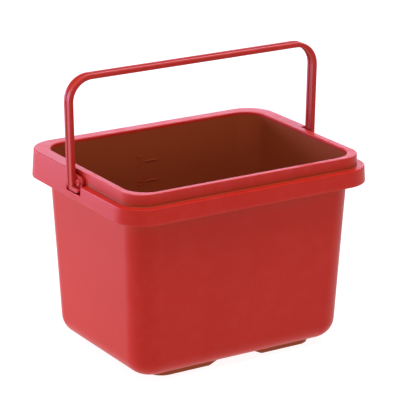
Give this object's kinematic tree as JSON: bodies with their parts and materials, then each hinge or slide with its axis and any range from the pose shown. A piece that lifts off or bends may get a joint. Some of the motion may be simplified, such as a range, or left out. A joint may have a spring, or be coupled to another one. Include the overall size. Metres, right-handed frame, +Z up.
{
  "type": "wash bucket",
  "caption": "Rectangular drafted plastic bucket with a stepped hollow rim, litre marks inside and a flat strap bail that folds forward onto the rim's ledge.",
  "frame": {"origin": "on the floor under the middle of the tub, midway between its four feet", "axes": "+X along the long sides, +Z up through the opening and the upright bail, -Y towards the stepped side of the rim where the bail folds down"},
  "size_m": [0.293, 0.223, 0.2985],
  "materials": {
    "tub_plastic": "satin moulded polypropylene",
    "bail_plastic": "satin moulded polypropylene",
    "pin_plastic": "satin moulded polypropylene"
  },
  "bodies": {
    "tub": {"tub": "tub_plastic", "pivot_pin_left": "pin_plastic", "pivot_pin_right": "pin_plastic"},
    "bail": {"bail": "bail_plastic"}
  },
  "joints": [
    {"name": "bail_fold", "type": "hinge", "parent": "tub", "child": "bail", "pos_m": [0, -0.0025, 0.1921], "axis": [1, 0, 0], "range_deg": [0, 93]}
  ]
}
